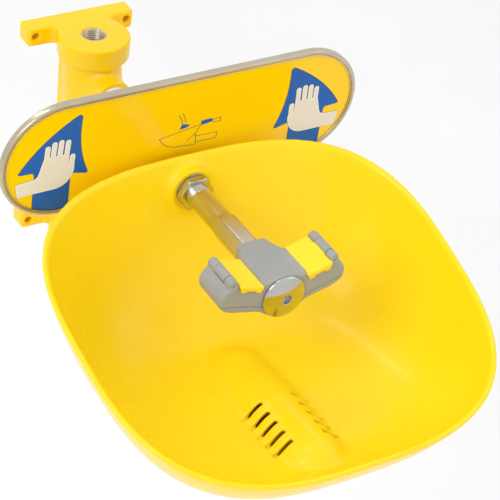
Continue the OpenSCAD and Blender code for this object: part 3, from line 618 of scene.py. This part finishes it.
def head_field(x, y, z):
    x = np.abs(x)
    head = head_whole(x, y, z)
    slot = np.maximum(COVER_IN + 0.1 - x, x - COVER_OUT - 0.3)
    head = smooth_max(head, -np.maximum(slot, SEAT_Z + (x - COVER_IN) * COVER_SLOPE - z), 0.5)
    from_hinge = np.hypot(x - HINGE_X, z - HINGE_Z)
    knuckle = np.maximum(from_hinge - BARREL_R - KNUCKLE_GAP,
                         np.maximum(KNUCKLE_Y[0] - y, y - KNUCKLE_Y[1]))
    well = np.maximum(np.hypot(x - NOZZLE_X, y - NOZZLE_Y) - NOZZLE_R, NOZZLE_FLOOR_Z - z)
    line = np.maximum(np.hypot(x, z - LINE_Z) - STUB_R, ARM_END_Y - y)
    for hole in (knuckle, from_hinge - PIN_R, well, line):
        head = smooth_max(head, -hole, 0.4)
    return smooth_max(head, parting_z(x) + PARTING_GAP - z, 0.4)


def base_field(x, y, z):
    x = np.abs(x)
    shell = np.maximum(head_whole(x, y, z), y - HEAD_BACK_Y)
    screws = np.hypot(x - SCREW_X, np.abs(y - NOZZLE_Y) - SCREW_Y) - SCREW_R
    shell = smooth_max(shell, -np.maximum(screws, z - SCREW_Z), 0.5)
    return smooth_max(shell, z - parting_z(x) + PARTING_GAP, 0.4)


head_step = 0.5
surface("head_upper", head_field, (-60, -381, 38), (60, -322, 88), head_step,
        MATERIALS["head_grey"], replaces=["spray_head_body"])
surface("head_lower", base_field, (-60, -381, 38), (60, -338, 76), head_step,
        MATERIALS["head_grey"], replaces=["spray_head_base"])

CAP_R, CAP_DOME, CAP_SPIGOT_R, CAP_SPIGOT = 19.0, 4.0, 11.0, 12.0
SOCKET_AF, SOCKET_DEPTH = 8.0, 4.5


def cap_field(x, y, z):
    across = np.hypot(x, z - CAP_Z)
    dome_r = (CAP_R ** 2 + CAP_DOME ** 2) / (2 * CAP_DOME)
    face = CAP_LOW[1]
    dome = np.sqrt(across ** 2 + (y - face - dome_r) ** 2) - dome_r
    disc = smooth_max(smooth_max(dome, across - CAP_R, 1.2), y - HUB_Y, 0.4)
    spigot = np.maximum(y - CAP_HIGH[1], CAP_HIGH[1] - CAP_SPIGOT - y)
    spigot = np.maximum(across - CAP_SPIGOT_R, spigot)
    socket = np.maximum(hexagon(x, z - CAP_Z, SOCKET_AF), y - face - SOCKET_DEPTH)
    return smooth_max(np.minimum(disc, spigot), -socket, 0.6)


surface("end_cap", cap_field, CAP_LOW - 1.5, CAP_HIGH + 1.5, 0.35, MATERIALS["chrome"],
        replaces=["head_cap"])

# Lip at a cover's front edge: its middle, half its width, half the width of the notch in it, and
# where it is along the head.
LIP_X, LIP_HALF, LIP_NOTCH, LIP_Y = 31.0, 9.3, 4.5, HEAD_FRONT_Y - 1.4
STRAP_HALF = 7.7


def cover_shape(x, y, z):
    """Right dust cover: a sloping lid whose front edge turns down in a lip."""
    lid_z = SEAT_Z + 0.3
    level = z - lid_z - (x - COVER_IN) * COVER_SLOPE
    across = np.abs(x - (COVER_IN + COVER_OUT) / 2) - (COVER_OUT - COVER_IN) / 2
    lid = slab(across, level, 0, COVER_T, 1.0)
    lid = smooth_max(lid, np.maximum(y - HEAD_BACK_Y + 0.5, HEAD_FRONT_Y - 2.5 - y), 1.6)
    lip = np.maximum(np.abs(level + 0.6) - 2.8, np.abs(x - LIP_X) - LIP_HALF)
    lip = smooth_max(lip, np.abs(y - LIP_Y) - 1.1, 0.8)
    lip = smooth_max(lip, -np.maximum(np.abs(x - LIP_X) - LIP_NOTCH, level + 1.8), 0.4)
    strap = np.maximum(np.abs(level - COVER_T / 2) - COVER_T / 2, COVER_OUT - 1 - x)
    strap_side = np.abs(y - sum(KNUCKLE_Y) / 2) - STRAP_HALF
    strap = np.maximum(strap, np.maximum(x - HINGE_X, strap_side))
    strap = np.maximum(strap, BARREL_R - np.hypot(x - HINGE_X, z - HINGE_Z))
    return smooth_min(smooth_min(lid, lip, 2.0), strap, 1.0)


def left_cover_field(x, y, z):
    return cover_shape(-x, y, z)


for side, field in (("right", cover_shape), ("left", left_cover_field)):
    low, high = cad_box(side + "_dust_cover")
    surface(side + "_cover_lid", field, low - 1.5, high + 1.5, 0.45, MATERIALS["cover_yellow"],
            body=side + "_cover", replaces=[side + "_dust_cover"])


# ---------------------------------------------------------------- push panel

# Half the panel's length and height, the trim's width, the panel's lean, and its middle.
PANEL_L, PANEL_H, TRIM_W, LEAN = 164.5, 55.0, 5.0, math.radians(3.7)
PANEL_Y, PANEL_Z = -211.6, 107.8
# Notch in the lower edge: half its width, its top, and where its trim ends.
SLOT_W, SLOT_TOP, NOTCH_FOOT = 24.0, -30.0, -PANEL_H + 19
LEANING = Matrix.Rotation(math.pi / 2 + LEAN, 4, "X")
ON_PANEL = Matrix.Translation((0, PANEL_Y * MM, PANEL_Z * MM)) @ LEANING

# Section through the trim, as inward distance from the panel's edge and height: a rounded channel,
# a groove and a bead.
TRIM_OUTER = [(5.0, -6.5), *curve((1.6, -6.5), (0, -6.5), (0, -4.9), 6),
              *curve((0, -1.7), (0.1, -0.1), (1.7, 0), 8),
              *curve((2.3, 0), (3.5, 0), (3.7, -1.0), 8)]
TRIM_BEAD = [*curve((3.9, -1.0), (4.0, -0.3), (4.5, -0.3), 6),
             *curve((4.5, -0.3), (5.0, -0.3), (5.0, -0.9), 6)]
TRIM_INNER = [(5.0, -1.4), (1.6, -1.4), (1.6, -5.4), (5.0, -5.4)]
TRIM_SECTION = TRIM_OUTER + TRIM_BEAD + TRIM_INNER


def swept(name, stations, material, body):
    """A bar of TRIM_SECTION. Each station gives the point on the panel at an inward distance."""
    ring = len(TRIM_SECTION)
    points = [(*station(inward), height) for station in stations for inward, height in TRIM_SECTION]
    last = (len(stations) - 1) * ring
    faces = [(i + j, i + (j + 1) % ring, i + ring + (j + 1) % ring, i + ring + j)
             for i in range(0, last, ring) for j in range(ring)]
    faces += [tuple(reversed(range(ring))), tuple(range(last, last + ring))]
    mesh = bpy.data.meshes.new(name)
    mesh.from_pydata([Vector(point) * MM for point in points], [], faces)
    shape = bmesh.new()
    shape.from_mesh(mesh)
    bmesh.ops.recalc_face_normals(shape, faces=shape.faces)
    shape.to_mesh(mesh)
    shape.free()
    mesh.shade_smooth()
    mesh.set_sharp_from_angle(angle=math.radians(50))
    mesh.transform(ON_PANEL)
    return add_piece(name, mesh, material, body)


def round_the_end(side, a):
    middle = side * (PANEL_L - PANEL_H)
    return lambda inward: (middle + (PANEL_H - inward) * math.cos(a),
                           (PANEL_H - inward) * math.sin(a))


def along_the_bottom(u):
    return lambda inward: (u, inward - PANEL_H)


def round_the_notch(u, v, out_u, out_v):
    return lambda inward: (u + out_u * inward, v + out_v * inward)


turns = np.linspace(-math.pi / 2, math.pi / 2, 49)
outside = [along_the_bottom(SLOT_W + 1)]
outside += [round_the_end(1, a) for a in turns]
outside += [round_the_end(-1, a + math.pi) for a in turns]
outside += [along_the_bottom(-SLOT_W - 1)]
notch = [round_the_notch(-SLOT_W, NOTCH_FOOT, -1, 0), round_the_notch(-SLOT_W, SLOT_TOP, -1, 1),
         round_the_notch(SLOT_W, SLOT_TOP, 1, 1), round_the_notch(SLOT_W, NOTCH_FOOT, 1, 0)]
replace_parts(swept("edge_trim", outside, MATERIALS["steel"], "panel"), "panel_trim")
swept("notch_trim", notch, MATERIALS["steel"], "panel")

# Printed films: the label's height below the trim's top, the rise from one film to the next, and
# half a film's thickness. The field is stretched across the film, which is thinner than a step.
LABEL_W, FILM, FILM_SINK, FILM_HALF, FILM_STRETCH = -1.5, 0.05, 0.02, 0.035, 6
PRINT_STEP = 0.25


def print_shape(name, plan, low, high, ink, level):
    """A printed area: a thin film over the label, level films up."""
    bottom = LABEL_W + FILM * level - FILM_SINK

    def field(u, v, w):
        thick = np.abs(w - bottom - FILM_HALF) * FILM_STRETCH - FILM_HALF * FILM_STRETCH
        return np.maximum(plan(u, v), thick)

    surface(name, field, (*low, bottom - 0.1), (*high, bottom + 0.18),
            (PRINT_STEP, PRINT_STEP, FILM_HALF), MATERIALS[ink], body="panel",
            place=ON_PANEL)


# Right half of the label's graphics, each outline a little inside its rounded edge: an arrow that
# points up at the panel's top, and a palm pushing on it.
ARROW_ROUND = 1.2
ARROW = [(98.3, 39.6), *curve((99.5, 39.2), (130.3, 21.4), (147.4, -5.2)), (138.5, -5.7),
         *curve((137.5, -5.7), (133.5, -5.9), (133.4, -11), 6), (133.4, -60), (103.9, -60),
         (103.9, -18), *curve((103.8, -17), (103.6, -14.6), (99.5, -14.5), 6), (88.7, -17.4),
         *curve((89.2, -16), (99.6, 8), (97.3, 38.4))]
PALM = [(105.6, -8.4), (105.8, 4.2), (126.6, 4.2), (127.2, 2), (130.2, -9),
        *curve((131, -11.5), (132.5, -14.8), (137, -15)), (150.4, -16.0), (148.0, -28.6),
        (134, -27.9), *curve((119, -27.8), (104, -28.6), (100.4, -13)), (100.2, -9)]
FINGERS = [((107.9, -6), (106.7, 16.6)), ((113.7, -1), (112.7, 17.8)), ((119.5, -1), (118.6, 17.1)),
           ((125.0, -1), (124.4, 14.2))]
THUMB = ((102.6, -12), (102.0, 1.4))
FINGER_R, THUMB_R, HAND_ROUND = 1.75, 1.85, 0.3


def label_edge(u, v):
    """How far a point is outside the part of the label that the trim leaves open."""
    return rounded_rect(u, v, PANEL_L, PANEL_H, PANEL_H) + TRIM_W + 0.3


def arrow_plan(u, v):
    return np.maximum(polygon(u, v, ARROW) - ARROW_ROUND, label_edge(u, v))


def hand_plan(u, v):
    hand = polygon(u, v, PALM)
    for a, b in FINGERS:
        hand = np.minimum(hand, segment(u, v, a, b, FINGER_R))
    return np.minimum(hand, segment(u, v, *THUMB, THUMB_R)) - HAND_ROUND


def grown(plan, by):
    return lambda u, v: plan(u, v) - by


def mirrored(plan, by):
    return lambda u, v: plan(-u, v) - by


# What is printed on each half, from the label up: its plan, how far it is grown, and its ink.
PRINTS = [("arrow_edge", arrow_plan, 0.5, "print_dark"), ("arrow", arrow_plan, 0, "print_blue"),
          ("hand_edge", hand_plan, 0.55, "print_dark"), ("hand_rim", hand_plan, 0.3, "print_white"),
          ("hand", hand_plan, -0.4, "print_cream")]

for side, turn, (low_u, high_u) in (("right", grown, (80, 155)), ("left", mirrored, (-155, -80))):
    for level, (name, plan, by, ink) in enumerate(PRINTS):
        print_shape(side + "_" + name, turn(plan, by), (low_u, -52), (high_u, 46), ink, level)

# Drawing in the middle of the label: the bowl from the side on its two pipes, with water rising.
DRAWN_LINES = [
    [(-23.5, -2.3), (32.4, 7.1), (33.0, 3.0), (25.7, 3.4)],
    [(-23.5, -2.3), *curve((-23.5, -2.3), (-17, -14.5), (-3, -14.3)), (9.5, -15.9), (11.8, -14.3),
     (10.1, -4.5), *curve((10.1, -4.5), (11.2, -1.2), (14.8, 3.6), 5)],
    [(2.3, -10.4), (10.1, -4.5)],
    [(10.9, -7.2), (30.8, -7.8), (30.7, -13.7), (12.6, -13.5)],
    curve((-3.3, 9.0), (-4.6, 14), (-8, 18.5)),
    curve((-0.6, 8.8), (-1.2, 14), (-4.4, 19.5)),
]
LINE_R = 0.3
DRAWN_BLOCKS = [[(13.9, 7.6), (24.2, 8.0), (25.6, 4.4), (15.3, 3.0)],
                [(-5.7, 3.0), (-3.6, 8.4), (4.7, 6.0), (0.5, 3.8)]]


def lines_plan(u, v):
    bars = [segment(u, v, a, b, LINE_R) for line in DRAWN_LINES for a, b in zip(line, line[1:])]
    return np.minimum.reduce(bars)


def blocks_plan(u, v):
    return np.minimum(polygon(u, v, DRAWN_BLOCKS[0]), polygon(u, v, DRAWN_BLOCKS[1]))


print_shape("drawn_lines", lines_plan, (-26, -18), (35, 21), "print_dark", 1)
print_shape("drawn_blocks", blocks_plan, (-8, 0), (28, 11), "print_blue", 2)


# ---------------------------------------------------------------- stage, lights and camera

def area_light(name, at, size, watts, aim=(0.0, -0.3, 0.0)):
    data = bpy.data.lights.new(name, "AREA")
    data.shape = "RECTANGLE"
    data.size, data.size_y = size
    data.energy = watts
    light = bpy.data.objects.new(name, data)
    light.location = at
    light.rotation_euler = (Vector(aim) - Vector(at)).to_track_quat("-Z", "Y").to_euler()
    bpy.context.scene.collection.objects.link(light)


area_light("key_box", (-1.9, -0.9, 1.7), (1.2, 1.2), 20)
area_light("fill_box", (1.8, -1.6, 1.4), (1.6, 1.2), 5)
area_light("strip_box", (-0.5, 0.9, 1.9), (0.12, 1.6), 5)

world = bpy.data.worlds.new("studio")
world.use_nodes = True
background = world.node_tree.nodes["Background"]
background.inputs["Color"].default_value = (1.0, 1.0, 1.0, 1)
background.inputs["Strength"].default_value = 0.94
bpy.context.scene.world = world

floor_material, nodes, links, shader, at = new_material("pale_floor")
cloud = noise(nodes, links, at, 3.0)
tone = two_tone(nodes, links, cloud, (0.90, 0.90, 0.90), (0.93, 0.93, 0.93))
links.new(tone, shader.inputs["Base Color"])
shader.inputs["Roughness"].default_value = 0.9
floor_mesh = bpy.data.meshes.new("floor")
# The station hangs on a wall that isn't drawn, so the floor is well below it.
FLOOR_REACH, FLOOR_DROP = 12.0, 0.75
corners = [(-FLOOR_REACH, -FLOOR_REACH), (FLOOR_REACH, -FLOOR_REACH), (FLOOR_REACH, FLOOR_REACH),
           (-FLOOR_REACH, FLOOR_REACH)]
floor_z = cad_bounds[0].z - FLOOR_DROP
floor_mesh.from_pydata([(x, y, floor_z) for x, y in corners], [], [(0, 1, 2, 3)])
floor_mesh.materials.append(floor_material)
floor = bpy.data.objects.new("floor", floor_mesh)
bpy.context.scene.collection.objects.link(floor)

CAMERA_AT = Vector((-0.7136, -1.3814, 1.0062))
AZIMUTH, ELEVATION, ROLL = math.radians(-34.05), math.radians(36.39), math.radians(7.02)
camera_data = bpy.data.cameras.new("camera")
camera_data.lens = 144.0
camera_data.sensor_width = 36.0
camera = bpy.data.objects.new("camera", camera_data)
back = Vector((math.sin(AZIMUTH) * math.cos(ELEVATION),
               -math.cos(AZIMUTH) * math.cos(ELEVATION), math.sin(ELEVATION)))
right = Vector((math.cos(AZIMUTH), math.sin(AZIMUTH), 0.0))
up = back.cross(right)
turned_right = math.cos(ROLL) * right + math.sin(ROLL) * up
turned_up = back.cross(turned_right)
turned = Matrix((turned_right, turned_up, back)).transposed().to_4x4()
camera.matrix_world = Matrix.Translation(CAMERA_AT) @ turned
bpy.context.scene.collection.objects.link(camera)
bpy.context.scene.camera = camera
bpy.context.scene.view_settings.view_transform = "Standard"
